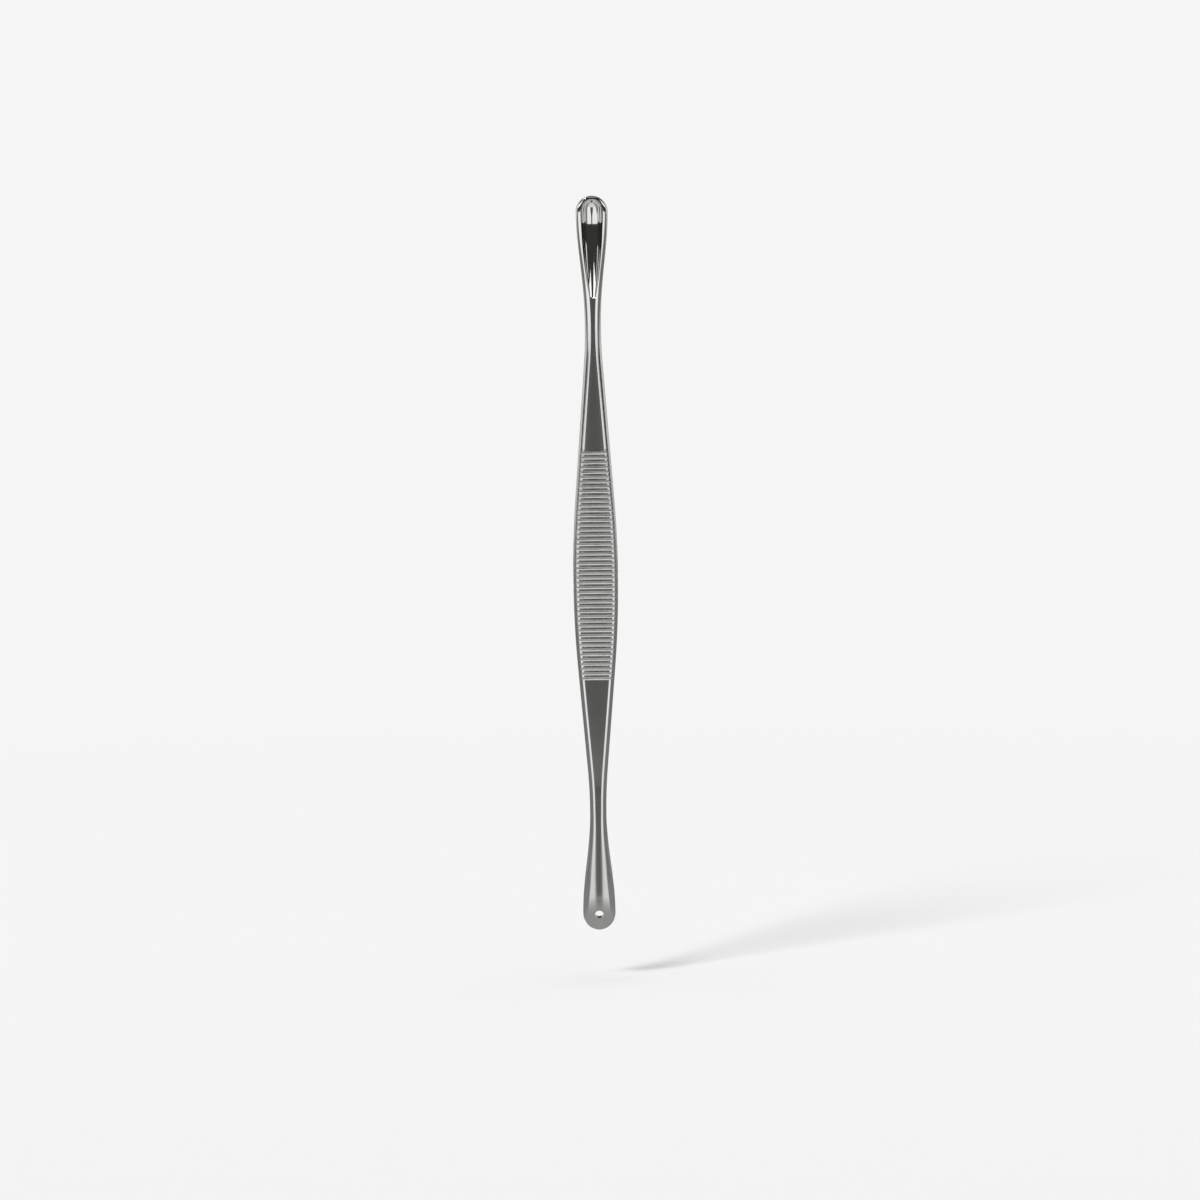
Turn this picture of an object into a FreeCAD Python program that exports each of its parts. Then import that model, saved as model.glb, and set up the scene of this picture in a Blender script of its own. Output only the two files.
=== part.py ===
"""Double-ended blackhead extractor, in millimetres.

Z runs along the tool, with the scoop at the top and the perforated spoon at the bottom.
The scoop's bowl opens towards -Y and the spoon's bowl towards +Y.
The origin is in the middle of the grip, on the centre plane of the handle.
"""
import FreeCAD, Part
import Sketcher

import math
import os

Vector = FreeCAD.Vector
UP = Vector(0, 0, 1)

# Driving dimensions. A height is a distance from the middle of the grip. A sweep is the share that a
# neck's side arc takes of the largest radius that still meets the grip's side arc.
SIZES = {
    # handle: a flat bar, widest in the grip and narrowest in the two necks
    "grip_width": 8.5,
    "grip_side_radius": 200.0,
    "grip_drop": 2.5,
    "thickness": 2.5,
    "edge_radius": 1.0,
    "scoop_neck_height": 44.6,
    "scoop_neck_width": 3.0,
    "scoop_neck_sweep": 0.39,
    "spoon_neck_height": 47.1,
    "spoon_neck_width": 3.1,
    "spoon_neck_sweep": 0.59,
    # cross grooves of the grip, on both faces
    "groove_count": 48,
    "groove_pitch": 0.912,
    "groove_width": 0.6,
    "groove_depth": 0.22,
    "groove_run_out": 0.5,
    "groove_end_land": 0.1,
    # brazed joint of each tip
    "tang_diameter": 1.1,
    "tang_length": 5.0,
    "tang_clearance": 0.03,
    "socket_end_gap": 0.3,
    # scoop
    "scoop_length": 25.4,
    "scoop_width": 6.0,
    "scoop_depth": 2.7,
    "scoop_round_length": 3.0,
    "scoop_rim_radius": 0.35,
    "scoop_bowl_width": 4.15,
    "scoop_bowl_depth": 1.8,
    "scoop_bowl_length": 19.1,
    "scoop_bowl_end_radius": 0.7,
    "scoop_lip": 0.45,
    # perforated spoon
    "spoon_length": 22.9,
    "spoon_width": 6.15,
    "spoon_round_length": 3.5,
    "spoon_rim_radius": 0.3,
    "spoon_curl_radius": 16.0,
    "spoon_curl_length": 10.1,
    "spoon_edge": 0.31,
    "spoon_rise_length": 13.0,
    "spoon_bowl_width": 3.8,
    "spoon_wall": 0.7,
    "hole_diameter": 1.6,
    "hole_setback": 3.2,
    # straight part of a tip's side wall, between the rim and the belly
    "side_land": 0.1,
    # how far a cut runs past the metal
    "cut_allowance": 1.0,
}

doc = FreeCAD.newDocument("blackhead_extractor")
sheet = doc.addObject("Spreadsheet::Sheet", "Sizes")
for number, (alias, value) in enumerate(SIZES.items(), start=1):
    sheet.set(f"A{number}", alias)
    sheet.set(f"B{number}", str(value))
    sheet.setAlias(f"B{number}", alias)
doc.recompute()

# Largest shares: a long edge's rounding of the thickness, a corner's rounding of a tip's half width,
# and the depth of the scoop's bowl of its own half width.
EDGE_SHARE = 0.45
CORNER_SHARE = 0.95
BOWL_SHARE = 0.95

# Sizes that follow from the driving ones.
SCOOP_REACH = "(Sizes.scoop_neck_height + Sizes.scoop_length)"
SPOON_REACH = "(Sizes.spoon_neck_height + Sizes.spoon_length)"
FACE = "(Sizes.thickness / 2)"
EDGE_RADIUS = f"min(Sizes.edge_radius, {EDGE_SHARE} * Sizes.thickness)"
EDGE_LAND = f"(Sizes.thickness - 2 * {EDGE_RADIUS})"
TIP_CURL = "(Sizes.spoon_curl_radius - sqrt(Sizes.spoon_curl_radius ^ 2 - Sizes.spoon_curl_length ^ 2))"
TIP_RISE = f"({TIP_CURL} + Sizes.spoon_edge - Sizes.thickness)"


def neck_radius(end, along):
    """Radius of a neck's side arc, with the distance along Z from the widest place to the neck."""
    step = f"((Sizes.grip_width - Sizes.{end}_neck_width) / 2)"
    largest = f"(({step} ^ 2 + {along} ^ 2) / (2 * {step}) - Sizes.grip_side_radius)"
    return f"(Sizes.{end}_neck_sweep * {largest})"


SCOOP_NECK_RADIUS = neck_radius("scoop", "(Sizes.scoop_neck_height + Sizes.grip_drop)")
SPOON_NECK_RADIUS = neck_radius("spoon", "(Sizes.spoon_neck_height - Sizes.grip_drop)")


def worth(expression):
    """Value of an expression of the sheet's sizes."""
    return float(sheet.evalExpression(expression))


def new_body(name):
    body = doc.addObject("PartDesign::Body", name)
    body.Label = name
    return body


def origin_feature(body, role):
    return next(feature for feature in body.Origin.OriginFeatures if feature.Role == role)


def new_sketch(body, name, plane, offset=None):
    """Sketch on one of the body's origin planes; offset maps Base or Rotation paths to expressions."""
    sketch = body.newObject("Sketcher::SketchObject", name)
    sketch.AttachmentSupport = [(origin_feature(body, plane), "")]
    sketch.MapMode = "FlatFace"
    for path, expression in (offset or {}).items():
        sketch.setExpression("AttachmentOffset." + path, expression)
    return sketch


def dimension(sketch, kind, places, name, expression):
    """Dimensional constraint whose value is an expression of the sheet's sizes."""
    index = sketch.addConstraint(Sketcher.Constraint(kind, *places, worth(expression)))
    sketch.renameConstraint(index, name)
    sketch.setExpression("Constraints." + name, expression)


def line(sketch, start, end, construction=False):
    return sketch.addGeometry(Part.LineSegment(Vector(*start, 0), Vector(*end, 0)), construction)


def arc(sketch, centre, radius, first, last):
    circle = Part.Circle(Vector(*centre, 0), UP, radius)
    return sketch.addGeometry(Part.ArcOfCircle(circle, first, last), False)


def rule(sketch, kind, *places):
    sketch.addConstraint(Sketcher.Constraint(kind, *places))


def pad(body, name, sketch, length, symmetric=False, reverse=False):
    feature = body.newObject("PartDesign::Pad", name)
    feature.Profile = sketch
    feature.SideType = "Symmetric" if symmetric else "One side"
    feature.Reversed = reverse
    feature.setExpression("Length", length)
    return feature


def pocket(body, name, sketch, length, symmetric=False, reverse=False):
    feature = body.newObject("PartDesign::Pocket", name)
    feature.Profile = sketch
    feature.SideType = "Symmetric" if symmetric else "One side"
    feature.Reversed = reverse
    feature.setExpression("Length", length)
    return feature


def groove(body, name, sketch, axis):
    feature = body.newObject("PartDesign::Groove", name)
    feature.Profile = sketch
    feature.ReferenceAxis = (sketch, [axis])
    feature.Angle = 360
    return feature


def fillet(body, name, base, edges, radius):
    feature = body.newObject("PartDesign::Fillet", name)
    feature.Base = (base, edges)
    feature.setExpression("Radius", radius)
    return feature


def removed(body, before):
    """Check that the last feature took metal away, and return the volume left."""
    doc.recompute()
    after = body.Shape.Volume
    if not after < before - 1e-6:
        raise RuntimeError(f"{body.Label}: {body.Tip.Name} cut nothing")
    return after


def circle_sketch(body, name, plane, offset, radius):
    sketch = new_sketch(body, name, plane, offset)
    ring = sketch.addGeometry(Part.Circle(Vector(0, 0, 0), UP, worth(radius)), False)
    rule(sketch, "Coincident", ring, 3, -1, 1)
    dimension(sketch, "Radius", (ring,), "bore", radius)
    return sketch


# First guess of the angle between the straight runs of the sides and the axis.
SIDE_SLOPE = 0.08


def outline_side(sketch, side):
    """One long side of the handle: neck arc, straight run, grip arc, straight run, neck arc."""
    right = side > 0
    tag = "right_" if right else "left_"
    half_top = worth("Sizes.scoop_neck_width / 2")
    half_bottom = worth("Sizes.spoon_neck_width / 2")
    top = worth("Sizes.scoop_neck_height")
    bottom = -worth("Sizes.spoon_neck_height")
    grip = worth("Sizes.grip_side_radius")
    drop = -worth("Sizes.grip_drop")
    upper = worth(SCOOP_NECK_RADIUS)
    lower = worth(SPOON_NECK_RADIUS)
    half_grip = worth("Sizes.grip_width / 2")
    turn = SIDE_SLOPE
    if right:
        spans = (math.pi, math.pi + turn), (-turn, turn), (math.pi - turn, math.pi)
        start, finish = 1, 2
    else:
        spans = (-turn, 0), (math.pi - turn, math.pi + turn), (0, turn)
        start, finish = 2, 1
    high = arc(sketch, (side * (half_top + upper), top), upper, *spans[0])
    middle = arc(sketch, (side * (half_grip - grip), drop), grip, *spans[1])
    low = arc(sketch, (side * (half_bottom + lower), bottom), lower, *spans[2])
    rise = math.sin(turn)
    swell = 1 - math.cos(turn)
    high_foot = (side * (half_top + upper * swell), top - upper * rise)
    low_head = (side * (half_bottom + lower * swell), bottom + lower * rise)
    grip_head = (side * (half_grip - grip * swell), drop + grip * rise)
    grip_foot = (side * (half_grip - grip * swell), drop - grip * rise)
    upper_run = line(sketch, high_foot, grip_head)
    lower_run = line(sketch, grip_foot, low_head)
    rule(sketch, "Tangent", high, finish, upper_run, 1)
    rule(sketch, "Tangent", upper_run, 2, middle, finish)
    rule(sketch, "Tangent", middle, start, lower_run, 1)
    rule(sketch, "Tangent", lower_run, 2, low, start)
    rule(sketch, "Horizontal", high, start, high, 3)
    rule(sketch, "Horizontal", low, finish, low, 3)

    def across(index, place, away, name, expression):
        """Distance of a point from the centre line, on the outline's side or away from it."""
        if right != away:
            places = (-1, 1, index, place)
        else:
            places = (index, place, -1, 1)
        dimension(sketch, "DistanceX", places, tag + name, expression)

    across(high, start, False, "scoop_neck", "Sizes.scoop_neck_width / 2")
    across(low, finish, False, "spoon_neck", "Sizes.spoon_neck_width / 2")
    across(middle, 3, True, "grip_centre", "Sizes.grip_side_radius - Sizes.grip_width / 2")
    dimension(sketch, "DistanceY", (-1, 1, high, start), tag + "top", "Sizes.scoop_neck_height")
    dimension(sketch, "DistanceY", (low, finish, -1, 1), tag + "bottom", "Sizes.spoon_neck_height")
    dimension(sketch, "DistanceY", (middle, 3, -1, 1), tag + "drop", "Sizes.grip_drop")
    dimension(sketch, "Radius", (high,), tag + "scoop_radius", SCOOP_NECK_RADIUS)
    dimension(sketch, "Radius", (middle,), tag + "grip_radius", "Sizes.grip_side_radius")
    dimension(sketch, "Radius", (low,), tag + "spoon_radius", SPOON_NECK_RADIUS)
    return (high, start), (low, finish)


def handle_outline(body):
    sketch = new_sketch(body, "HandleOutline", "XZ_Plane")
    right_top, right_bottom = outline_side(sketch, 1)
    left_top, left_bottom = outline_side(sketch, -1)
    ends = (
        (left_top, right_top, "Sizes.scoop_neck_width / 2", "Sizes.scoop_neck_height"),
        (left_bottom, right_bottom, "Sizes.spoon_neck_width / 2", "-Sizes.spoon_neck_height"),
    )
    for left, right, half, height in ends:
        end = line(sketch, (-worth(half), worth(height)), (worth(half), worth(height)))
        rule(sketch, "Coincident", end, 1, *left)
        rule(sketch, "Coincident", end, 2, *right)
    return sketch


def half_width(bar, height):
    """Half width of the bar at a height."""
    ray = Part.makeLine(Vector(0, 0, height), Vector(worth("Sizes.grip_width"), 0, height))
    return ray.common(bar.Shape).Length


def groove_tool(number, bar):
    """V-shaped recess with run-out ends, as long as the front face is flat at its height."""
    height = f"((Sizes.groove_count - 1) / 2 - {number}) * Sizes.groove_pitch"
    reach = f"({half_width(bar, worth(height))} - {EDGE_RADIUS} - Sizes.groove_end_land)"
    tool = doc.addObject("Part::Wedge", f"Groove{number}")
    tool.setExpression("Xmin", f"-{reach}")
    tool.setExpression("Xmax", reach)
    tool.setExpression("X2min", f"-({reach} - Sizes.groove_run_out)")
    tool.setExpression("X2max", f"{reach} - Sizes.groove_run_out")
    tool.setExpression("Zmin", "-Sizes.groove_width / 2")
    tool.setExpression("Zmax", "Sizes.groove_width / 2")
    tool.Z2min = 0
    tool.Z2max = 0
    tool.Ymin = 0
    tool.setExpression("Ymax", "Sizes.groove_depth")
    tool.setExpression("Placement.Base.y", f"-{FACE}")
    tool.setExpression("Placement.Base.z", height)
    return tool


def cut(name, base, tool):
    feature = doc.addObject("Part::Cut", name)
    feature.Base = base
    feature.Tool = tool
    return feature


def long_edges(shape):
    """Names of the edges that run along the tool."""
    return [f"Edge{i}" for i, edge in enumerate(shape.Edges, 1) if edge.BoundBox.ZLength > 0.5]


def make_handle():
    body = new_body("HandleBar")
    bar = pad(body, "Bar", handle_outline(body), "Sizes.thickness", symmetric=True)
    doc.recompute()
    volume = body.Shape.Volume
    fillet(body, "LongEdges", bar, long_edges(bar.Shape), EDGE_RADIUS)
    volume = removed(body, volume)

    for end, sign, reverse in (("scoop", "", False), ("spoon", "-", True)):
        offset = {"Base.z": f"{sign}Sizes.{end}_neck_height"}
        mouth = circle_sketch(
            body, f"{end}_socket_mouth", "XY_Plane", offset, "Sizes.tang_diameter / 2 + Sizes.tang_clearance"
        )
        pocket(body, f"{end}_socket", mouth, "Sizes.tang_length + Sizes.socket_end_gap", reverse=reverse)
        volume = removed(body, volume)

    front = doc.addObject("Part::Compound", "FrontGrooves")
    front.Links = [groove_tool(number, bar) for number in range(int(worth("Sizes.groove_count")))]
    back = doc.addObject("Part::Mirroring", "BackGrooves")
    back.Source = front
    back.Normal = Vector(0, 1, 0)
    handle = cut("GroovedBar", cut("FrontGroovedBar", body, front), back)
    handle.Label = "handle"
    doc.recompute()
    if not handle.Shape.Volume < volume:
        raise RuntimeError("the cross grooves cut nothing")
    return handle


def tip_section(body, name, height, front, back, half_width, front_radius, back_radius):
    """Rounded section across a tip; front and back are its faces' places along Y."""
    middle = f"(({back}) + ({front})) / 2"
    half_depth = f"(({back}) - ({front})) / 2"
    sketch = new_sketch(body, name, "XY_Plane", {"Base.y": middle, "Base.z": height})
    w = worth(half_width)
    d = worth(half_depth)
    rf = worth(front_radius)
    rb = worth(back_radius)
    quarter = math.pi / 2
    face = line(sketch, (-w + rf, -d), (w - rf, -d))
    right_front = arc(sketch, (w - rf, -d + rf), rf, -quarter, 0)
    right = line(sketch, (w, -d + rf), (w, d - rb))
    right_back = arc(sketch, (w - rb, d - rb), rb, 0, quarter)
    belly = line(sketch, (w - rb, d), (-w + rb, d))
    left_back = arc(sketch, (-w + rb, d - rb), rb, quarter, 2 * quarter)
    left = line(sketch, (-w, d - rb), (-w, -d + rf))
    left_front = arc(sketch, (-w + rf, -d + rf), rf, 2 * quarter, 3 * quarter)
    ring = (face, right_front, right, right_back, belly, left_back, left, left_front)
    for first, second in zip(ring, ring[1:] + ring[:1]):
        rule(sketch, "Tangent", first, 2, second, 1)
    rule(sketch, "Horizontal", face)
    rule(sketch, "Horizontal", belly)
    rule(sketch, "Vertical", right)
    rule(sketch, "Vertical", left)
    rule(sketch, "Equal", right_front, left_front)
    rule(sketch, "Equal", right_back, left_back)
    dimension(sketch, "DistanceX", (-1, 1, right, 1), "right_side", half_width)
    dimension(sketch, "DistanceX", (left, 1, -1, 1), "left_side", half_width)
    dimension(sketch, "DistanceY", (face, 1, -1, 1), "front_face", half_depth)
    dimension(sketch, "DistanceY", (-1, 1, belly, 1), "back_face", half_depth)
    dimension(sketch, "Radius", (right_front,), "front_corner", front_radius)
    dimension(sketch, "Radius", (right_back,), "back_corner", back_radius)
    return sketch


def skin(body, name, sections):
    feature = body.newObject("PartDesign::AdditiveLoft", name)
    feature.Profile = sections[0]
    feature.Sections = [(section, [""]) for section in sections[1:]]
    feature.Ruled = True
    return feature


def ease(share):
    """Smooth step from 0 to 1."""
    return (1 - math.cos(math.pi * share)) / 2


# Places of the sections: evenly spaced along the flare, then evenly turned round the tip's end.
SCOOP_FLARE_STEPS = 8
SPOON_FLARE_STEPS = 16
ROUND_SHARES = [math.sin(math.radians(turn)) for turn in range(10, 90, 10)]
LIP_POWER = 10

# Power that keeps the scoop slim for longer before it flares.
SCOOP_FLARE_LAG = 1.18


def make_scoop():
    body = new_body("scoop_tip")
    depth = "Sizes.scoop_depth"
    rim = "Sizes.scoop_rim_radius"
    flare = "(Sizes.scoop_length - Sizes.scoop_round_length)"
    sections = []
    for step in range(SCOOP_FLARE_STEPS + 1):
        share = step / SCOOP_FLARE_STEPS
        grown = ease(share**SCOOP_FLARE_LAG)
        front = f"-{FACE}"
        back = f"({FACE} + ({depth} - Sizes.thickness) * {grown})"
        half = f"(Sizes.scoop_neck_width / 2 + (Sizes.scoop_width - Sizes.scoop_neck_width) / 2 * {grown})"
        front_corner = f"({EDGE_RADIUS} + ({rim} - {EDGE_RADIUS}) * {grown})"
        land = f"({EDGE_LAND} + (Sizes.side_land - {EDGE_LAND}) * {grown})"
        back_corner = f"min({back} - ({front}) - {front_corner} - {land}, {CORNER_SHARE} * {half})"
        height = f"Sizes.scoop_neck_height + {flare} * {share}"
        name = f"ScoopSection{len(sections)}"
        sections.append(tip_section(body, name, height, front, back, half, front_corner, back_corner))
    for share in ROUND_SHARES:
        shrunk = math.sqrt(1 - share**2)
        lip = 1 - math.sqrt(1 - share**LIP_POWER)
        front = f"(-{FACE} + {rim} * {lip})"
        back = f"({depth} * {shrunk} - {FACE})"
        half = f"(Sizes.scoop_width / 2 * {shrunk})"
        front_corner = f"({rim} * {shrunk})"
        back_corner = f"min({back} - {front} - {front_corner} - Sizes.side_land * {shrunk}, {CORNER_SHARE} * {half})"
        height = f"{SCOOP_REACH} - Sizes.scoop_round_length * {1 - share / ROUND_SHARES[-1]}"
        name = f"ScoopSection{len(sections)}"
        sections.append(tip_section(body, name, height, front, back, half, front_corner, back_corner))
    skin(body, "ScoopSkin", sections)
    doc.recompute()
    volume = body.Shape.Volume

    groove(body, "ScoopBowl", scoop_bowl(body), "Axis0")
    removed(body, volume)

    offset = {"Base.z": "Sizes.scoop_neck_height"}
    root = circle_sketch(body, "ScoopTangRoot", "XY_Plane", offset, "Sizes.tang_diameter / 2")
    pad(body, "ScoopTang", root, "Sizes.tang_length", reverse=True)
    return body


def scoop_bowl(body):
    """Half section of the bowl: a ball at the tip, a long side arc, and a small ball where it runs out."""
    sketch = new_sketch(body, "ScoopBowlSection", "YZ_Plane")
    half = "(Sizes.scoop_bowl_width / 2)"
    depth = f"min(Sizes.scoop_bowl_depth, {BOWL_SHARE} * {half})"
    end_radius = "Sizes.scoop_bowl_end_radius"
    radius = f"(({half} ^ 2 + {depth} ^ 2) / (2 * {depth}))"
    before_face = f"({radius} - {depth})"
    ball_height = f"({SCOOP_REACH} - Sizes.scoop_lip - {half})"
    ball_out = f"({FACE} + {before_face})"
    run = f"(Sizes.scoop_bowl_length - {half} - sqrt(max({end_radius} ^ 2 - {before_face} ^ 2, 0)))"
    r = worth(radius)
    e = worth(end_radius)
    down = worth(run)
    side_radius = (r**2 + down**2 - e**2) / (2 * (r - e))
    turn = math.atan2(down, side_radius - r)
    out = -worth(ball_out)
    height = worth(ball_height)
    ball = arc(sketch, (out, height), r, math.pi / 2, math.pi)
    core = line(sketch, (out, height + r), (out, height - down - e))
    side = arc(sketch, (out - r + side_radius, height), side_radius, math.pi, math.pi + turn)
    end = arc(sketch, (out, height - down), e, math.pi + turn, 3 * math.pi / 2)
    rule(sketch, "Tangent", ball, 2, side, 1)
    rule(sketch, "Tangent", side, 2, end, 1)
    rule(sketch, "Coincident", ball, 1, core, 1)
    rule(sketch, "Coincident", end, 2, core, 2)
    rule(sketch, "Vertical", core)
    rule(sketch, "PointOnObject", ball, 3, core)
    rule(sketch, "PointOnObject", end, 3, core)
    rule(sketch, "Horizontal", side, 3, ball, 3)
    axis = line(sketch, (out, height), (out, height - down), construction=True)
    rule(sketch, "Coincident", axis, 1, ball, 3)
    rule(sketch, "Coincident", axis, 2, end, 3)
    dimension(sketch, "DistanceX", (ball, 3, -1, 1), "ball_out", ball_out)
    dimension(sketch, "DistanceY", (-1, 1, ball, 3), "ball_height", ball_height)
    dimension(sketch, "Radius", (ball,), "ball_radius", radius)
    dimension(sketch, "Radius", (end,), "end_radius", end_radius)
    dimension(sketch, "DistanceY", (end, 3, ball, 3), "bowl_run", run)
    return sketch


def make_spoon():
    body = new_body("perforated_tip")
    rim = "Sizes.spoon_rim_radius"
    curl = "Sizes.spoon_curl_radius"
    flare = "(Sizes.spoon_length - Sizes.spoon_round_length)"

    def belly_rise(setback):
        """How far the convex side has curled back at a distance from the tip."""
        along = f"max(Sizes.spoon_curl_length - {setback}, 0)"
        return f"({curl} - sqrt({curl} ^ 2 - {along} ^ 2))"

    def rim_rise(setback):
        """How far the rim stands behind the handle's back face at a distance from the tip."""
        return f"({TIP_RISE} * max(1 - {setback} / Sizes.spoon_rise_length, 0) ^ 2)"

    sections = []
    for step in range(SPOON_FLARE_STEPS + 1):
        share = step / SPOON_FLARE_STEPS
        grown = ease(share)
        setback = f"(Sizes.spoon_round_length + {flare} * {1 - share})"
        front = f"(-{FACE} + {belly_rise(setback)})"
        back = f"({FACE} + {rim_rise(setback)})"
        half = f"(Sizes.spoon_neck_width / 2 + (Sizes.spoon_width - Sizes.spoon_neck_width) / 2 * {grown})"
        back_corner = f"({EDGE_RADIUS} + ({rim} - {EDGE_RADIUS}) * {grown})"
        land = f"({EDGE_LAND} + (Sizes.side_land - {EDGE_LAND}) * {grown})"
        front_corner = f"min({back} - {front} - {back_corner} - {land}, {CORNER_SHARE} * {half})"
        height = f"-({SPOON_REACH} - {setback})"
        name = f"SpoonSection{len(sections)}"
        sections.append(tip_section(body, name, height, front, back, half, front_corner, back_corner))
    for share in ROUND_SHARES:
        shrunk = math.sqrt(1 - share**2)
        lip = (1 - math.sqrt(1 - share**LIP_POWER)) / 2
        setback = f"(Sizes.spoon_round_length * {1 - share / ROUND_SHARES[-1]})"
        low = f"(-{FACE} + {belly_rise(setback)})"
        high = f"({FACE} + {rim_rise(setback)})"
        front = f"({low} + ({high} - {low}) * {lip})"
        back = f"({high} - ({high} - {low}) * {lip})"
        half = f"(Sizes.spoon_width / 2 * {shrunk})"
        back_corner = f"({rim} * {shrunk})"
        front_corner = f"min({back} - {front} - {back_corner} - Sizes.side_land * {shrunk}, {CORNER_SHARE} * {half})"
        height = f"-({SPOON_REACH} - {setback})"
        name = f"SpoonSection{len(sections)}"
        sections.append(tip_section(body, name, height, front, back, half, front_corner, back_corner))
    skin(body, "SpoonSkin", sections)
    doc.recompute()
    volume = body.Shape.Volume

    groove(body, "SpoonBowl", spoon_bowl(body), "Axis0")
    volume = removed(body, volume)

    # The hole is square to the convex side, so its axis passes through the centre of the curl.
    offset = {
        "Base.y": f"-({SPOON_REACH} - Sizes.spoon_curl_length)",
        "Base.z": f"-({curl} - {FACE})",
        "Rotation.Angle": f"asin((Sizes.spoon_curl_length - Sizes.hole_setback) / {curl})",
    }
    drill = circle_sketch(body, "HoleSection", "XZ_Plane", offset, "Sizes.hole_diameter / 2")
    drill.AttachmentOffset = FreeCAD.Placement(drill.AttachmentOffset.Base, FreeCAD.Rotation(Vector(1, 0, 0), 1))
    pocket(body, "Hole", drill, f"{curl} + Sizes.cut_allowance", reverse=True)
    volume = removed(body, volume)

    offset = {"Base.z": "-Sizes.spoon_neck_height"}
    root = circle_sketch(body, "SpoonTangRoot", "XY_Plane", offset, "Sizes.tang_diameter / 2")
    pad(body, "SpoonTang", root, "Sizes.tang_length")
    return body


def spoon_bowl(body):
    """Section across the bowl where the curl starts; it turns about the curl's own axis."""
    offset = {"Base.z": f"-({SPOON_REACH} - Sizes.spoon_curl_length)"}
    sketch = new_sketch(body, "SpoonBowlSection", "XY_Plane", offset)
    radius = "(Sizes.spoon_bowl_width / 2)"
    centre = f"({FACE} - Sizes.spoon_wall - {radius})"
    top = f"({FACE} + max({TIP_RISE}, 0) + Sizes.cut_allowance)"
    pivot = f"(Sizes.spoon_curl_radius - {FACE})"
    r = worth(radius)
    bottom = arc(sketch, (0, -worth(centre)), r, math.pi, 2 * math.pi)
    right = line(sketch, (r, -worth(centre)), (r, worth(top)))
    lid = line(sketch, (r, worth(top)), (-r, worth(top)))
    left = line(sketch, (-r, worth(top)), (-r, -worth(centre)))
    rule(sketch, "Tangent", bottom, 2, right, 1)
    rule(sketch, "Coincident", right, 2, lid, 1)
    rule(sketch, "Coincident", lid, 2, left, 1)
    rule(sketch, "Tangent", left, 2, bottom, 1)
    rule(sketch, "Vertical", right)
    rule(sketch, "Vertical", left)
    rule(sketch, "Horizontal", lid)
    rule(sketch, "PointOnObject", bottom, 3, -2)
    dimension(sketch, "Radius", (bottom,), "bowl_radius", radius)
    dimension(sketch, "DistanceY", (bottom, 3, -1, 1), "bowl_centre", centre)
    dimension(sketch, "DistanceY", (-1, 1, right, 2), "mouth", top)
    axis = line(sketch, (-r, worth(pivot)), (r, worth(pivot)), construction=True)
    rule(sketch, "Horizontal", axis)
    rule(sketch, "Vertical", axis, 1, left, 1)
    rule(sketch, "Vertical", axis, 2, right, 2)
    dimension(sketch, "DistanceY", (-1, 1, axis, 1), "pivot", pivot)
    return sketch


bodies = [make_handle(), make_scoop(), make_spoon()]
doc.recompute()

for thing in doc.Objects:
    if "Invalid" in thing.State or "Error" in thing.State:
        raise RuntimeError(f"{thing.Label} failed: {thing.State}")
for body in bodies:
    shape = body.Shape
    if shape.isNull() or not shape.isValid() or len(shape.Solids) != 1:
        raise RuntimeError(f"{body.Label} is not one valid solid")

os.makedirs("parts", exist_ok=True)
for body in bodies:
    body.Shape.exportStep(f"parts/{body.Label}.step")
    box = body.Shape.optimalBoundingBox(False, False)
    print(f"{body.Label}: {body.Shape.Volume:.2f} mm3, {box.XLength:.2f} x {box.YLength:.2f} x {box.ZLength:.2f} mm")
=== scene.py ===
"""Looks of a double-ended blackhead extractor: satin ribbed handle, polished scoop, perforated spoon."""

import math

import bmesh
import bpy
from mathutils import Euler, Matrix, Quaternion, Vector


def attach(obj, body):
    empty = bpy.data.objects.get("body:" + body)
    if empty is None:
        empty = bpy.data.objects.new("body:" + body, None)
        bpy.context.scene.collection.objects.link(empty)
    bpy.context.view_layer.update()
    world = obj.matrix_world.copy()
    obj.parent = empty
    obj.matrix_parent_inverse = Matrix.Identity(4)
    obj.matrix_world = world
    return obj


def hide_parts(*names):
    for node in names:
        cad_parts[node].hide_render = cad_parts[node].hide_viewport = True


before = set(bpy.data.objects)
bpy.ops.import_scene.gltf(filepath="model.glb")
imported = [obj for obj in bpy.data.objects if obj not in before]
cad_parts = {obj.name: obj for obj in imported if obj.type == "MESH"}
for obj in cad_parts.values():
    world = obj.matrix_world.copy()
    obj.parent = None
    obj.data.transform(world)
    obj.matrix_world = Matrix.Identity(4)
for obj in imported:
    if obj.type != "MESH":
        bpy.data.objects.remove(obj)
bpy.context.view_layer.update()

# Sizes in millimetres. Pieces are shaped in millimetres and brought to metres at the end.
MM = 0.001
THICKNESS = 2.5
FACE = THICKNESS / 2
EDGE_RADIUS = 1.12

# How finely round forms are stepped, and how near two places count as one.
CORNER_STEPS = 12
BAR_STEPS = 48
FLARE_STEPS = 44
TIP_ANGLE = 5
BALL_STEPS = 24
SIDE_ARC_STEPS = 48
CLOSE = 1e-4

# Handle: grip, necks and the ribs' grooves
GRIP_HALF = 4.25
GRIP_DROP = -2.5
GRIP_SIDE_RADIUS = 200.0
SCOOP_NECK = {"height": 44.6, "half": 1.5, "radius": 79.8}
SPOON_NECK = {"height": -47.1, "half": 1.55, "radius": 100.1}
GROOVE_COUNT = 48
GROOVE_PITCH = 0.912
GROOVE_WIDTH = 0.6
GROOVE_DEPTH = 0.22
GROOVE_OVERCUT = 0.08

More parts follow.
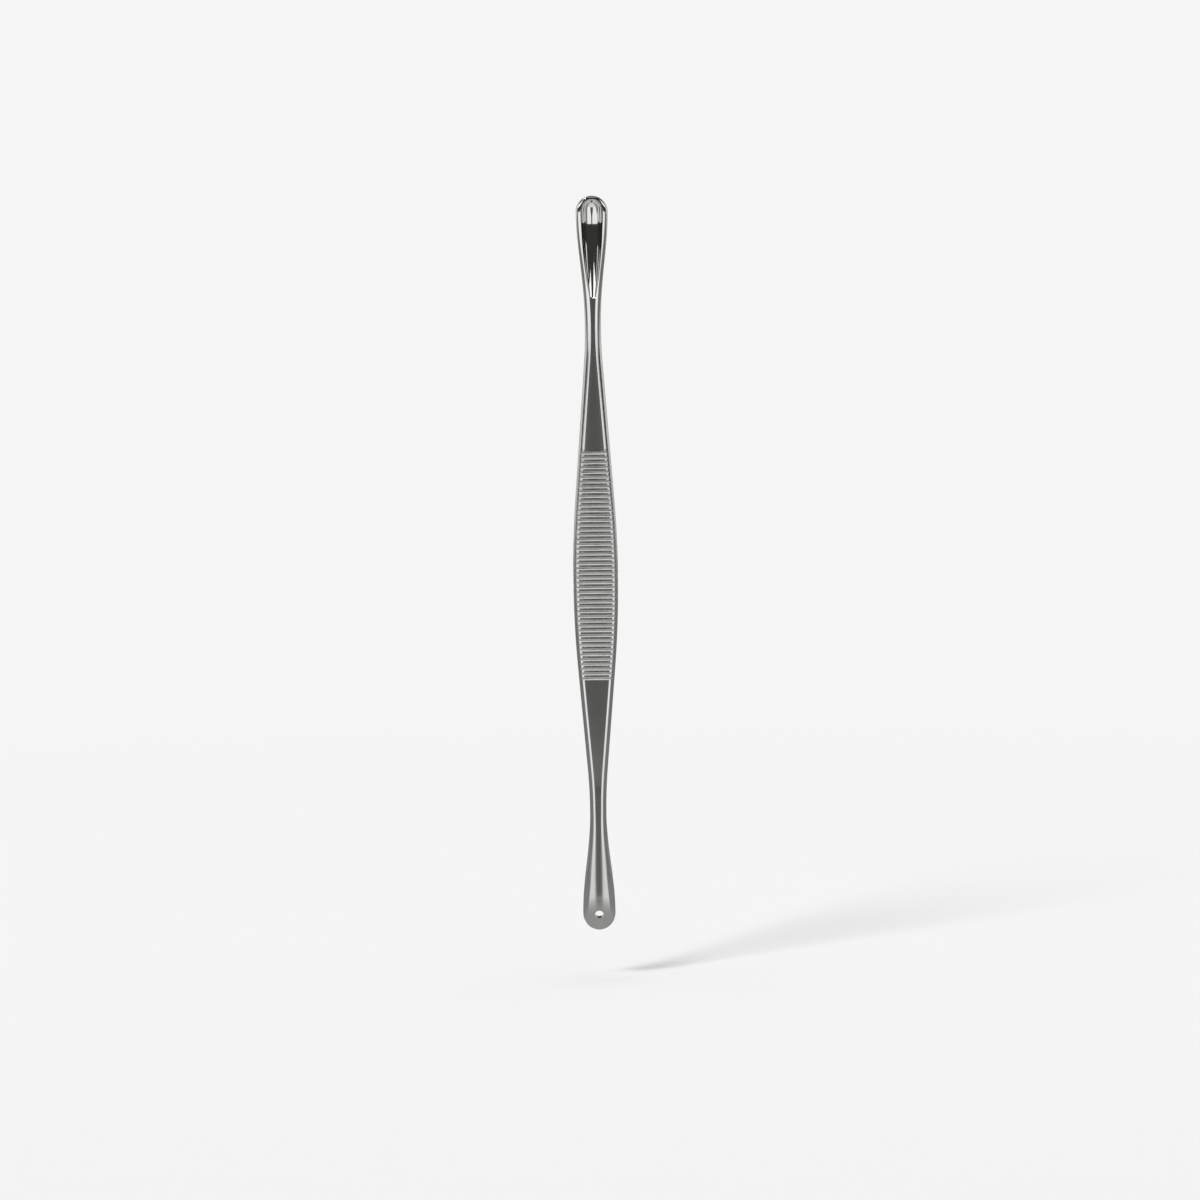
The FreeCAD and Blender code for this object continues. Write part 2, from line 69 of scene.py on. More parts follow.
# Scoop. The lag holds its flare back towards the tip. The bowl's floor begins to rise a few half widths from
# the middle of its ball.
SCOOP_END = 70.0
SCOOP_HALF = 3.0
SCOOP_ROUND = 3.0
SCOOP_DEPTH = 2.7
SCOOP_RIM = 0.9
SCOOP_LAND = 0.1
SCOOP_NOSE = 0.45
SCOOP_LAG = 1.18
SCOOP_SOFTENING = 0.12
BOWL_HALF = 2.075
BOWL_DEPTH = 1.8
BOWL_LENGTH = 19.1
BOWL_LIP = 0.45
BOWL_END = 0.7
BOWL_LIFT = 0.6
BOWL_LIFT_REACH = 1.7

# Spoon: its convex front curls back to the tip and its hollow faces the back
SPOON_END = -70.0
SPOON_HALF = 3.075
SPOON_ROUND = 3.5
CURL_RADIUS = 16.0
CURL_LENGTH = 10.1
SPOON_EDGE = 0.31
RISE_LENGTH = 13.0
SPOON_WALL = 0.7
SPOON_BOWL_RADIUS = 1.9
HOLE_RADIUS = 0.82
HOLE_SETBACK = 3.2
SPOON_ROUNDING = 0.06
SPOON_SOFTENING = 0.09

# Studio, in metres: camera, pale paper and the floor's height
CAMERA_AIM = (0.00077, 0, -0.0066)
CAMERA_LIFT = 5
CAMERA_ROLL = -0.63
CAMERA_AWAY = 1.2
FRAME_WIDTH = 0.2277
SENSOR_WIDTH = 36
FLOOR = -0.0792
PAPER_COLOUR = (0.9, 0.9, 0.9, 1)
BACKGROUND = (0.915, 0.915, 0.915, 1)
ROOM_LIGHT = (0.05, 0.05, 0.05, 1)
STEEL_COLOUR = (0.65, 0.645, 0.63)


# Modelling helpers

def start_piece():
    bpy.ops.object.select_all(action="DESELECT")


def work_on(piece):
    start_piece()
    bpy.context.view_layer.objects.active = piece
    piece.select_set(True)


def name_piece(name):
    piece = bpy.context.object
    piece.name = name
    piece.data.name = name
    return piece


def edit_mode():
    bpy.ops.object.mode_set(mode="EDIT")
    bpy.ops.mesh.select_mode(type="VERT")


def object_mode():
    bpy.ops.object.mode_set(mode="OBJECT")


def pick(test):
    """Select the vertices whose place passes the test."""
    bpy.ops.mesh.select_all(action="DESELECT")
    mesh = bpy.context.object.data
    shape = bmesh.from_edit_mesh(mesh)
    for corner in shape.verts:
        if test(corner.co):
            corner.select_set(True)
    shape.select_flush(True)
    bmesh.update_edit_mesh(mesh)


def at_height(height):
    """Test for the vertices of the section at a height."""
    return lambda place: abs(place.z - height) < CLOSE


def picked_box():
    """Low and high corner of what is selected."""
    shape = bmesh.from_edit_mesh(bpy.context.object.data)
    places = [corner.co for corner in shape.verts if corner.select]
    low = [min(place[i] for place in places) for i in range(3)]
    high = [max(place[i] for place in places) for i in range(3)]
    return low, high


def rounded_blank(half_width, height):
    """Cross-section of the flat bar, a rectangle with rounded corners, ready to be drawn out."""
    start_piece()
    bpy.ops.mesh.primitive_plane_add(size=2, location=(0, 0, 0))
    edit_mode()
    bpy.ops.mesh.select_all(action="SELECT")
    bpy.ops.transform.resize(value=(half_width, FACE, 1), center_override=(0, 0, 0))
    bpy.ops.transform.translate(value=(0, 0, height))
    bpy.ops.mesh.bevel(affect="VERTICES", offset=EDGE_RADIUS, segments=CORNER_STEPS, profile=0.5)


def draw_out(height):
    """Pull the selected end section on to a height."""
    high = picked_box()[1]
    bpy.ops.mesh.extrude_region_move(TRANSFORM_OT_translate={"value": (0, 0, height - high[2])})


def spread_to(half_width, height):
    """Move the two sides of the end section apart and leave their rounding as it is."""
    high = picked_box()[1]
    step = half_width - high[0]
    section = at_height(height)
    for side in (1, -1):
        pick(lambda place: section(place) and place.x * side > 0)
        bpy.ops.transform.translate(value=(side * step, 0, 0))
    pick(at_height(height))


def fit_section(half_width, front, back):
    """Scale the end section to a width and to its places along Y."""
    low, high = picked_box()
    middle = (low[1] + high[1]) / 2
    grow = (half_width / high[0], (back - front) / (high[1] - low[1]), 1)
    bpy.ops.transform.resize(value=grow, center_override=(0, middle, high[2]))
    bpy.ops.transform.translate(value=(0, (front + back) / 2 - middle, 0))


def cut_with(piece, cutter):
    """Take the cutter's shape out of the piece."""
    work_on(piece)
    bpy.ops.object.modifier_add(type="BOOLEAN")
    cut = piece.modifiers[-1]
    cut.operation = "DIFFERENCE"
    cut.solver = "EXACT"
    cut.object = cutter
    bpy.ops.object.modifier_apply(modifier=cut.name)
    bpy.data.objects.remove(cutter, do_unlink=True)


def soften(piece, width, angle, segments=3):
    """Round off the edges that are sharper than an angle."""
    work_on(piece)
    bpy.ops.object.modifier_add(type="BEVEL")
    bevel = piece.modifiers[-1]
    bevel.width = width
    bevel.segments = segments
    bevel.limit_method = "ANGLE"
    bevel.angle_limit = math.radians(angle)
    bevel.harden_normals = False
    bpy.ops.object.modifier_apply(modifier=bevel.name)


def finish_piece(piece, node, smooth_angle=32):
    """Close the mesh, bring it to metres and let it stand for its solid."""
    work_on(piece)
    edit_mode()
    bpy.ops.mesh.select_all(action="SELECT")
    bpy.ops.mesh.remove_doubles(threshold=CLOSE)
    bpy.ops.mesh.normals_make_consistent(inside=False)
    bpy.ops.transform.resize(value=(MM, MM, MM), center_override=(0, 0, 0))
    object_mode()
    bpy.ops.object.shade_smooth_by_angle(angle=math.radians(smooth_angle))
    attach(piece, "root")
    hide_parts(node)


# Handle

def side_angle(neck):
    """Angle of the straight run between the grip's side arc and a neck's side arc."""
    reach = abs(neck["height"] - GRIP_DROP)
    radii = GRIP_SIDE_RADIUS + neck["radius"]
    across = radii - (GRIP_HALF - neck["half"])
    return math.atan2(reach, across) - math.acos(radii / math.hypot(across, reach))


def handle_half_width(height):
    neck = SCOOP_NECK if height > GRIP_DROP else SPOON_NECK
    angle = side_angle(neck)
    away = abs(height - GRIP_DROP)
    left = abs(neck["height"] - height)
    arc_end = GRIP_SIDE_RADIUS * math.sin(angle)
    if away <= arc_end:
        return GRIP_HALF - GRIP_SIDE_RADIUS + math.sqrt(GRIP_SIDE_RADIUS**2 - away**2)
    if left <= neck["radius"] * math.sin(angle):
        return neck["half"] + neck["radius"] - math.sqrt(neck["radius"] ** 2 - left**2)
    arc_half = GRIP_HALF - GRIP_SIDE_RADIUS * (1 - math.cos(angle))
    return arc_half - (away - arc_end) * math.tan(angle)


def groove_comb():
    """Row of V-shaped cutters for the front face, and its mirror image for the back face."""
    start_piece()
    bpy.ops.mesh.primitive_cube_add(size=2, location=(0, 0, 0))
    comb = name_piece("groove_comb")
    top = (GROOVE_COUNT - 1) / 2 * GROOVE_PITCH
    edit_mode()
    bpy.ops.mesh.select_all(action="SELECT")
    cutter_depth = GROOVE_DEPTH + GROOVE_OVERCUT
    half_open = GROOVE_WIDTH / 2 * cutter_depth / GROOVE_DEPTH
    bpy.ops.transform.resize(value=(GRIP_HALF * 1.2, cutter_depth / 2, half_open), center_override=(0, 0, 0))
    pick(lambda place: place.y > 0)
    bpy.ops.transform.resize(value=(1, 1, 0), center_override=(0, 0, 0))
    bpy.ops.mesh.select_all(action="SELECT")
    bpy.ops.mesh.remove_doubles(threshold=CLOSE)
    bpy.ops.transform.translate(value=(0, -FACE + (GROOVE_DEPTH - GROOVE_OVERCUT) / 2, top))
    bpy.ops.mesh.normals_make_consistent(inside=False)
    object_mode()
    bpy.ops.object.modifier_add(type="ARRAY")
    row = comb.modifiers[-1]
    row.count = GROOVE_COUNT
    row.use_relative_offset = False
    row.use_constant_offset = True
    row.constant_offset_displace = (0, 0, -GROOVE_PITCH)
    bpy.ops.object.modifier_apply(modifier=row.name)
    bpy.ops.object.modifier_add(type="MIRROR")
    both = comb.modifiers[-1]
    both.use_axis = (False, True, False)
    both.use_mirror_merge = False
    bpy.ops.object.modifier_apply(modifier=both.name)
    return comb


def make_handle():
    """Flat bar drawn out from the spoon's neck to the scoop's, with ribs cut across both faces."""
    bottom = SPOON_NECK["height"]
    top = SCOOP_NECK["height"]
    rounded_blank(SPOON_NECK["half"], bottom)
    for step in range(1, BAR_STEPS + 1):
        height = bottom + (top - bottom) * step / BAR_STEPS
        draw_out(height)
        spread_to(handle_half_width(height), height)
    object_mode()
    handle = name_piece("handle_bar")
    cut_with(handle, groove_comb())
    return handle


# Tips

def ease(share):
    """Smooth start and end from 0 to 1."""
    return (1 - math.cos(math.pi * share)) / 2


def pick_corners(height, split, front):
    """Select the two front or the two back corners of the section at a height."""
    section = at_height(height)
    pick(lambda place: section(place) and (place.y < split) == front)


def reround(height, split, front, half, edge, grow):
    """Change the radius of the section's two front or two back corners."""
    section = at_height(height)
    for side in (1, -1):
        pick(lambda place: section(place) and (place.y < split) == front and place.x * side > 0)
        bpy.ops.transform.resize(value=(grow, grow, 1), center_override=(side * half, edge, height))


def make_scoop():
    """Drop-shaped tip with a rounded rim, a deep round back and a polished bowl that runs out up the neck."""
    base = SCOOP_NECK["height"]
    flare = SCOOP_END - SCOOP_ROUND - base
    rounded_blank(SCOOP_NECK["half"], base)
    rim = EDGE_RADIUS
    keel = EDGE_RADIUS
    back = FACE
    for step in range(1, FLARE_STEPS + 1):
        share = step / FLARE_STEPS
        grown = ease(share**SCOOP_LAG)
        height = base + flare * share
        half = SCOOP_NECK["half"] + (SCOOP_HALF - SCOOP_NECK["half"]) * grown
        draw_out(height)
        spread_to(half, height)
        split = (-FACE + rim + back - keel) / 2
        next_back = FACE + (SCOOP_DEPTH - THICKNESS) * grown
        pick_corners(height, split, False)
        bpy.ops.transform.translate(value=(0, next_back - back, 0))
        back = next_back
        next_rim = EDGE_RADIUS + (SCOOP_RIM - EDGE_RADIUS) * grown
        reround(height, split, True, half, -FACE, next_rim / rim)
        rim = next_rim
        land = (THICKNESS - 2 * EDGE_RADIUS) * (1 - grown) + SCOOP_LAND * grown
        next_keel = back + FACE - rim - land
        reround(height, split, False, half, back, next_keel / keel)
        keel = next_keel
        pick(at_height(height))
    for turn in range(TIP_ANGLE, 90, TIP_ANGLE):
        shrunk = math.cos(math.radians(turn))
        height = SCOOP_END - SCOOP_ROUND * (1 - math.sin(math.radians(turn)))
        over = max(height - SCOOP_END + SCOOP_NOSE, 0)
        front = -FACE + SCOOP_NOSE - math.sqrt(SCOOP_NOSE**2 - over**2)
        draw_out(height)
        back = -FACE + SCOOP_NOSE + (SCOOP_DEPTH - SCOOP_NOSE) * shrunk
        fit_section(SCOOP_HALF * shrunk, front, back)
    draw_out(SCOOP_END)
    bpy.ops.mesh.merge(type="CENTER")
    object_mode()
    scoop = name_piece("polished_scoop")
    cut_with(scoop, scoop_cutter())
    soften(scoop, SCOOP_SOFTENING, 45)
    return scoop


def round_stack(name, rings):
    """Round body drawn out ring by ring; each ring is a height, a radius and a shift to the front."""
    start_piece()
    height, radius, shift = rings[0]
    bpy.ops.mesh.primitive_circle_add(vertices=128, radius=radius, fill_type="NGON", location=(0, 0, 0))
    body = name_piece(name)
    edit_mode()
    bpy.ops.mesh.select_all(action="SELECT")
    bpy.ops.transform.translate(value=(0, -shift, height))
    for height, next_radius, next_shift in rings[1:]:
        draw_out(height)
        grow = next_radius / radius
        bpy.ops.transform.resize(value=(grow, grow, 1), center_override=(0, -shift, height))
        bpy.ops.transform.translate(value=(0, shift - next_shift, 0))
        radius = next_radius
        shift = next_shift
    bpy.ops.mesh.select_all(action="SELECT")
    bpy.ops.mesh.normals_make_consistent(inside=False)
    return body


def scoop_cutter():
    """Egg of a ball at the tip, a long side arc and a small ball at the run-out, bent forward at the tip."""
    ball = (BOWL_HALF**2 + BOWL_DEPTH**2) / (2 * BOWL_DEPTH)
    before_face = ball - BOWL_DEPTH
    run = BOWL_LENGTH - BOWL_HALF - math.sqrt(BOWL_END**2 - before_face**2)
    side = (ball**2 + run**2 - BOWL_END**2) / (2 * (ball - BOWL_END))
    turn = math.atan2(run, side - ball)
    middle = SCOOP_END - BOWL_LIP - BOWL_HALF
    rings = []
    for step in range(1, BALL_STEPS + 1):
        angle = math.pi / 2 * (1 - step / BALL_STEPS)
        rings.append((middle + ball * math.sin(angle), ball * math.cos(angle)))
    for step in range(1, SIDE_ARC_STEPS + 1):
        angle = turn * step / SIDE_ARC_STEPS
        rings.append((middle - side * math.sin(angle), ball - side * (1 - math.cos(angle))))
    for step in range(1, BALL_STEPS):
        angle = turn + (math.pi / 2 - turn) * step / BALL_STEPS
        rings.append((middle - run - BOWL_END * math.sin(angle), BOWL_END * math.cos(angle)))
    rise = middle - BOWL_HALF * BOWL_LIFT_REACH
    lifted = []
    for height, radius in rings:
        share = max(height - rise, 0) / (SCOOP_END - rise)
        lifted.append((height, radius, BOWL_LIFT * share**2))
    cutter = round_stack("scoop_cutter", lifted)
    bpy.ops.transform.translate(value=(0, -FACE - before_face, 0))
    object_mode()
    return cutter


def belly_rise(setback):
    """How far the curl takes the convex side back, at a distance from the tip."""
    along = max(CURL_LENGTH - setback, 0)
    return CURL_RADIUS - math.sqrt(CURL_RADIUS**2 - along**2)


def rim_rise(setback):
    """How far the rim behind the spoon moves, at a distance from the tip."""
    tip_rise = belly_rise(0) + SPOON_EDGE - THICKNESS
    return tip_rise * max(1 - setback / RISE_LENGTH, 0) ** 2


def make_spoon():
    """Spoon whose convex side curls back to the tip, with a shallow bowl behind and a hole through it."""
    base = SPOON_NECK["height"]
    flare = base - SPOON_END - SPOON_ROUND
    rounded_blank(SPOON_NECK["half"], base)
    for step in range(1, FLARE_STEPS + 1):
        share = step / FLARE_STEPS
        grown = ease(share)
        setback = SPOON_ROUND + flare * (1 - share)
        draw_out(SPOON_END + setback)
        bpy.ops.transform.tosphere(value=SPOON_ROUNDING)
        half = SPOON_NECK["half"] + (SPOON_HALF - SPOON_NECK["half"]) * grown
        fit_section(half, -FACE + belly_rise(setback), FACE + rim_rise(setback))
    for turn in range(TIP_ANGLE, 90, TIP_ANGLE):
        setback = SPOON_ROUND * (1 - math.sin(math.radians(turn)))
        shrunk = math.cos(math.radians(turn))
        draw_out(SPOON_END + setback)
        fit_section(SPOON_HALF * shrunk, -FACE + belly_rise(setback), FACE + rim_rise(setback))
    draw_out(SPOON_END)
    bpy.ops.mesh.merge(type="CENTER")
    object_mode()
    spoon = name_piece("perforated_spoon")
    pivot = (0, CURL_RADIUS - FACE, SPOON_END + CURL_LENGTH)
    cut_with(spoon, bowl_wheel(pivot))
    cut_with(spoon, hole_drill(pivot))
    soften(spoon, SPOON_SOFTENING, 32)
    return spoon


def bowl_wheel(pivot):
    """Wheel that hollows the spoon's back along the curl."""
    start_piece()
    bpy.ops.mesh.primitive_torus_add(
        major_radius=CURL_RADIUS - SPOON_WALL - SPOON_BOWL_RADIUS,
        minor_radius=SPOON_BOWL_RADIUS,
        major_segments=192,
        minor_segments=96,
        location=(0, 0, 0),
    )
    wheel = name_piece("bowl_wheel")
    edit_mode()
    bpy.ops.mesh.select_all(action="SELECT")
    bpy.ops.transform.rotate(value=math.pi / 2, orient_axis="Y", center_override=(0, 0, 0))
    bpy.ops.transform.translate(value=pivot)
    object_mode()
    return wheel


def hole_drill(pivot):
    """Drill square to the convex side."""
    lean = math.asin((CURL_LENGTH - HOLE_SETBACK) / CURL_RADIUS)
    start_piece()
    bpy.ops.mesh.primitive_cylinder_add(
        vertices=96,
        radius=HOLE_RADIUS,
        depth=2 * CURL_RADIUS,
        location=(0, 0, 0),
    )
    drill = name_piece("hole_drill")
    edit_mode()
    bpy.ops.mesh.select_all(action="SELECT")
    bpy.ops.transform.translate(value=(0, 0, -CURL_RADIUS * 1.4))
    bpy.ops.transform.rotate(value=math.pi / 2 - lean, orient_axis="X", center_override=(0, 0, 0))
    bpy.ops.transform.translate(value=pivot)
    object_mode()
    return drill


# Shader maths

class Value:
    """A socket of a material, with Python's operators."""

    def __init__(self, tree, socket):
        self.tree = tree
        self.socket = socket

    def maths(self, operation, first, second):
        node = self.tree.nodes.new("ShaderNodeMath")
        node.operation = operation
        for place, entry in zip(node.inputs, (first, second)):
            if isinstance(entry, Value):
                self.tree.links.new(entry.socket, place)
            else:
                place.default_value = entry
        return Value(self.tree, node.outputs[0])

    def __add__(self, other):
        return self.maths("ADD", self, other)

    __radd__ = __add__

    def __sub__(self, other):
        return self.maths("SUBTRACT", self, other)

    def __rsub__(self, other):
        return self.maths("SUBTRACT", other, self)

    def __mul__(self, other):
        return self.maths("MULTIPLY", self, other)

    __rmul__ = __mul__

    def __truediv__(self, other):
        return self.maths("DIVIDE", self, other)

    def least(self, other):
        return self.maths("MINIMUM", self, other)

    def most(self, other):
        return self.maths("MAXIMUM", self, other)

    def clamped(self):
        return self.most(0.0).least(1.0)


def ramp(value, start, end):
    """0 before the start, 1 after the end."""
    return ((value - start) / (end - start)).clamped()


class Finish:
    """One material and the nodes that make it."""

    def __init__(self, name):
        self.material = bpy.data.materials.new(name)
        self.material.use_nodes = True
        self.tree = self.material.node_tree
        self.tree.nodes.clear()

    def node(self, kind, settings=None, **sockets):
        made = self.tree.nodes.new(kind)
        for key, setting in (settings or {}).items():
            setattr(made, key, setting)
        for key, entry in sockets.items():
            place = made.inputs[key.replace("_", " ")]
            if isinstance(entry, Value):
                self.tree.links.new(entry.socket, place)
            else:
                place.default_value = entry
        return made

    def out(self, node, name):
        return Value(self.tree, node.outputs[name])

    def places(self, scale):
        """Object coordinates, stretched."""
        coordinates = self.node("ShaderNodeTexCoord")
        mapping = self.node("ShaderNodeMapping", Vector=self.out(coordinates, "Object"), Scale=scale)
        return self.out(mapping, "Vector")

    def axes(self):
        """Object coordinates X, Y and Z, in metres."""
        coordinates = self.node("ShaderNodeTexCoord")
        split = self.node("ShaderNodeSeparateXYZ", Vector=self.out(coordinates, "Object"))
        return [self.out(split, axis) for axis in "XYZ"]

    def noise(self, scale, detail=3.0):
        places = self.places(scale)
        made = self.node("ShaderNodeTexNoise", Vector=places, Scale=1.0, Detail=detail, Roughness=0.55)
        return self.out(made, "Fac")

    def surface(self, shader):
        output = self.node("ShaderNodeOutputMaterial")
        self.tree.links.new(shader.outputs[0], output.inputs["Surface"])


def steel(name, colour):
    """Stainless steel: a mirror on the scoop, satin with brushed ribs below it, softer towards the spoon."""
    finish = Finish(name)
    cloud = finish.noise((260, 260, 90))
    fine = finish.noise((9000, 9000, 2500))
    height = finish.axes()[2]
    below_scoop = 1.0 - ramp(height, 0.044, 0.052)
    towards_spoon = 1.0 - ramp(height, -0.06, 0.0)
    polish = 0.05 + 0.05 * below_scoop + 0.08 * towards_spoon
    polish = polish + (cloud - 0.5) * 0.03
    tint = finish.node("ShaderNodeMix", {"data_type": "RGBA"})
    finish.tree.links.new(cloud.clamped().socket, tint.inputs[0])
    tint.inputs[6].default_value = tuple(0.9 * part for part in colour) + (1,)
    tint.inputs[7].default_value = colour + (1,)
    brushed = finish.noise((400, 400, 9000))
    ribs_end = 0.0222
    ribs_fade = 0.0216
    ribs = ramp(height, -ribs_end, -ribs_fade) * (1.0 - ramp(height, ribs_fade, ribs_end))
    marks = fine * 0.02 + brushed * ribs * 0.7
    relief = finish.node("ShaderNodeBump", Strength=1.0, Distance=0.00002, Height=marks)
    shader = finish.node(
        "ShaderNodeBsdfPrincipled",
        Base_Color=Value(finish.tree, tint.outputs[2]),
        Metallic=1.0,
        Roughness=polish.clamped(),
        Normal=finish.out(relief, "Normal"),
    )
    finish.surface(shader)
    return finish.material


def dress(piece, material):
    piece.data.materials.clear()
    piece.data.materials.append(material)


# Studio

def pale_floor():
    """Pale sweep: a floor that keeps the shadow and fades into an even background."""
    start_piece()
    bpy.ops.mesh.primitive_plane_add(size=2, location=(0, 0, 0))
    floor = name_piece("pale_floor")
    edit_mode()
    bpy.ops.mesh.select_all(action="SELECT")
    bpy.ops.transform.resize(value=(6, 2.2, 1), center_override=(0, 0, 0))
    bpy.ops.transform.translate(value=(0, -0.9, FLOOR))
    pick(lambda place: place.y > 1.2)
    bpy.ops.mesh.extrude_region_move(TRANSFORM_OT_translate={"value": (0, 0, 2.5)})
    pick(lambda place: place.y > 1.2 and place.z < 0)
    bpy.ops.mesh.bevel(affect="EDGES", offset=0.5, segments=16)
    object_mode()
    bpy.ops.object.shade_smooth()
    finish = Finish("pale_paper")
    x, y, z = finish.axes()
    far = ((x * x + y * y + z * z) * 5.0 - 0.2).clamped()
    path = finish.node("ShaderNodeLightPath")
    seen = finish.out(path, "Is Camera Ray") + finish.out(path, "Is Glossy Ray")
    seen = (seen + finish.out(path, "Is Transmission Ray")).clamped()
    glow = finish.node("ShaderNodeEmission", Color=BACKGROUND, Strength=seen)
    paper = finish.node("ShaderNodeBsdfDiffuse", Color=PAPER_COLOUR)
    blend = finish.node("ShaderNodeMixShader", Fac=far)
    finish.tree.links.new(paper.outputs[0], blend.inputs[1])
    finish.tree.links.new(glow.outputs[0], blend.inputs[2])
    finish.surface(blend)
    dress(floor, finish.material)
    return finish.material


def side_paper(name, across, paper):
    """Upright pale paper at one side, behind the tool in a side view."""
    start_piece()
    bpy.ops.mesh.primitive_plane_add(size=1, location=(0, 0, 0))
    board = name_piece(name)
    edit_mode()
    bpy.ops.mesh.select_all(action="SELECT")
    bpy.ops.transform.resize(value=(2.4, 1.4, 1), center_override=(0, 0, 0))
    bpy.ops.transform.rotate(value=math.pi / 2, orient_axis="Y", center_override=(0, 0, 0))
    bpy.ops.transform.translate(value=(across, 0, FLOOR + 1.2))
    object_mode()
    dress(board, paper)


def hide_from_all_but_reflections(board):
    board.visible_camera = False
    board.visible_shadow = False
    board.visible_diffuse = False


def painted_reflection_card():
    """Painted reflection: a glowing card on the floor that only the steel's reflections see, with a dim lane
    to the camera, dim sides and bright between.

    Reach is the square of the distance from the tool, and aside grows from 0 straight ahead to 1 at the side.
    """
    start_piece()
    just_above = (0, 0, FLOOR + 0.0002)
    bpy.ops.mesh.primitive_circle_add(vertices=96, radius=9, fill_type="NGON", location=just_above)
    board = name_piece("painted_reflection_card")
    bpy.ops.object.transform_apply(location=True)
    finish = Finish("painted_reflection_card")
    x, y = finish.axes()[:2]
    reach = x * x + y * y
    aside = x * x / (reach + 1e-9)
    # Painted reflection pattern: a dim lane straight to the camera, dim sides, a bright band between and a
    # mid grey foot under the tool; it lights nothing.
    near = 1.0 - ramp(reach, 0.03, 0.06)
    foot = 1.0 - ramp(reach, 0.0001, 0.0009)
    front = 1.0 - ramp(y, -0.001, 0.0)
    far = ramp(reach, 0.4, 1.2)
    lane = (1.0 - ramp(aside * (1.0 + 4.0 * far), 0.03, 0.08)) * front
    lane = lane * (1.0 - near) + lane * (1.0 - ramp(reach, 0.0006, 0.0012))
    left = 1.0 - ramp(x, -0.001, 0.0)
    middle = (1.0 - ramp(aside - 0.25 * left * far, 0.45, 0.65)) * front
    wide = 0.24 + 1.06 * middle
    bright = wide * (1.0 - near) + near * (0.3 + 0.7 * middle)
    shade = bright * (1.0 - lane) + 0.12 * lane
    shade = shade * (1.0 - foot) + 0.42 * foot
    tone = finish.node("ShaderNodeCombineXYZ", X=shade, Y=shade, Z=shade)
    finish.surface(finish.node("ShaderNodeEmission", Color=finish.out(tone, "Vector"), Strength=1.0))
    dress(board, finish.material)
    hide_from_all_but_reflections(board)


def screen(name, place, turn, size, glow):
    """Upright glowing screen that only reflections see, turned about Z: a painted reflection, a painted
    highlight when bright and a painted dark patch when dim.
    """
    start_piece()
    bpy.ops.mesh.primitive_plane_add(size=1, location=(0, 0, 0))
    board = name_piece(name)
    edit_mode()
    bpy.ops.mesh.select_all(action="SELECT")
    bpy.ops.transform.resize(value=(size[0], size[1], 1), center_override=(0, 0, 0))
    bpy.ops.transform.rotate(value=math.pi / 2, orient_axis="X", center_override=(0, 0, 0))
    bpy.ops.transform.rotate(value=math.radians(turn), orient_axis="Z", center_override=(0, 0, 0))
    bpy.ops.transform.translate(value=place)
    object_mode()
    finish = Finish(name)
    finish.surface(finish.node("ShaderNodeEmission", Color=(glow, glow, glow, 1), Strength=1.0))
    dress(board, finish.material)
    hide_from_all_but_reflections(board)


def key_sun(azimuth, elevation, spread, strength):
    """Soft key light from the left of the camera, which throws the shadow to the right."""
    start_piece()
    across = math.radians(azimuth)
    up = math.radians(elevation)
    towards = Vector((math.sin(across) * math.cos(up), -math.cos(across) * math.cos(up), math.sin(up)))
    turn = towards.to_track_quat("Z", "Y").to_euler()
    bpy.ops.object.light_add(type="SUN", location=towards, rotation=turn)
    lamp = bpy.context.object
    lamp.name = "key_sun"
    lamp.data.angle = math.radians(spread)
    lamp.data.energy = strength


def softbox(name, place, aim, size, glow):
    """Area lamp of a given brightness, turned towards a point."""
    start_piece()
    turn = (Vector(aim) - Vector(place)).to_track_quat("-Z", "Y").to_euler()
    bpy.ops.object.light_add(type="AREA", location=place, rotation=turn)
    lamp = bpy.context.object
    lamp.name = name
    lamp.data.shape = "RECTANGLE"
    lamp.data.size = size[0]
    lamp.data.size_y = size[1]
    lamp.data.energy = glow * math.pi * size[0] * size[1]
    return lamp


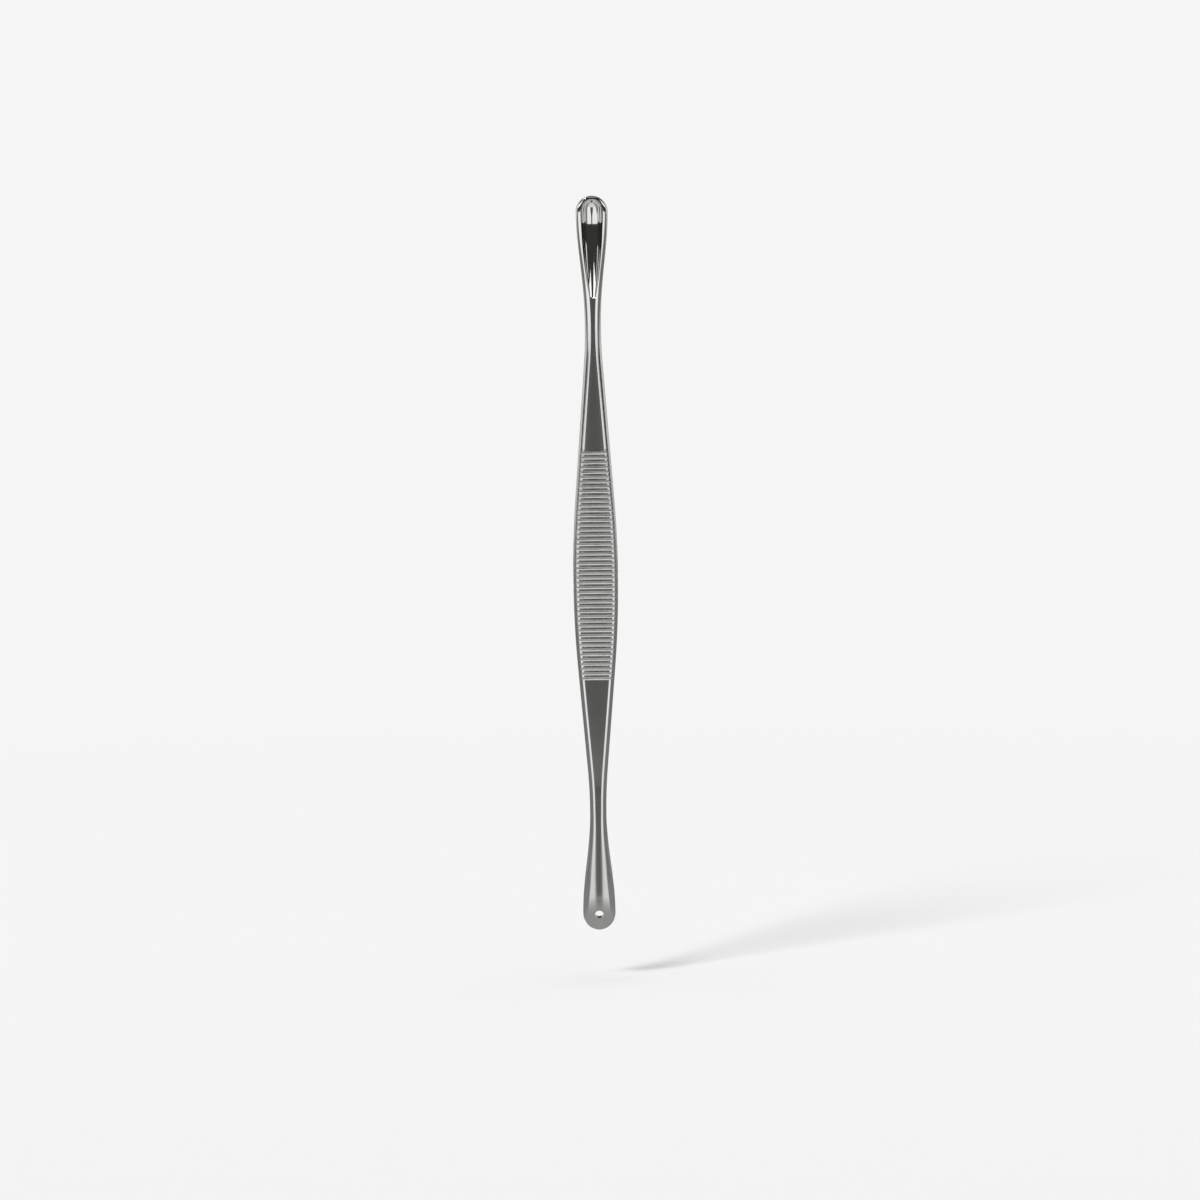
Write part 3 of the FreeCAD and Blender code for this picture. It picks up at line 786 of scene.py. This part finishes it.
def camera():
    """Camera a little above the tool, turned slightly about its own axis as in the photograph."""
    lift = math.radians(CAMERA_LIFT)
    place = Vector(CAMERA_AIM) + Vector((0, -math.cos(lift), math.sin(lift))) * CAMERA_AWAY
    bpy.ops.object.camera_add(location=place)
    eye = bpy.context.object
    level = Euler((math.pi / 2 - lift, 0, 0)).to_quaternion()
    eye.rotation_euler = (level @ Quaternion((0, 0, 1), math.radians(CAMERA_ROLL))).to_euler()
    eye.data.sensor_width = SENSOR_WIDTH
    eye.data.lens = SENSOR_WIDTH * CAMERA_AWAY / FRAME_WIDTH
    bpy.context.scene.camera = eye


handle = make_handle()
finish_piece(handle, "handle")
scoop = make_scoop()
finish_piece(scoop, "scoop_tip")
spoon = make_spoon()
finish_piece(spoon, "perforated_tip")

stainless = steel("stainless_steel", STEEL_COLOUR)
for piece in (handle, scoop, spoon):
    dress(piece, stainless)

paper = pale_floor()
side_paper("left_paper", -5.9, paper)
side_paper("right_paper", 5.9, paper)
# Painted reflection under the tool, seen only in the steel.
painted_reflection_card()
low_top = -0.047
low_middle = (0, -0.03, (FLOOR + low_top) / 2)
# Painted reflections: the dim low and back screens paint dark patches into the steel and the bright left and
# right screens paint its highlight streaks; none of them lights anything.
screen("low_screen", place=low_middle, turn=0, size=(0.014, low_top - FLOOR), glow=0.14)
screen("left_screen", place=(-0.75, -0.5, 0.35), turn=56, size=(1.3, 0.22), glow=1.7)
screen("right_screen", place=(0.66, -0.55, 0.35), turn=-50, size=(0.8, 0.22), glow=1.7)
screen("back_screen", place=(0, 0.1, 0.14), turn=0, size=(0.16, 0.3), glow=0.08)
key_sun(azimuth=-35, elevation=39, spread=16, strength=2.0)
top = softbox("top_softbox", place=(0, 1.1, 2.4), aim=(0, 1.1, 0), size=(3.6, 3.4), glow=2.08)
top.visible_glossy = False
softbox("front_softbox", place=(0, -0.55, 1.1), aim=(0, 0, 0), size=(0.9, 0.5), glow=0.9)

world = bpy.data.worlds.new("room")
bpy.context.scene.world = world
world.use_nodes = True
world.node_tree.nodes["Background"].inputs[0].default_value = ROOM_LIGHT
camera()
bpy.context.scene.view_settings.view_transform = "Standard"
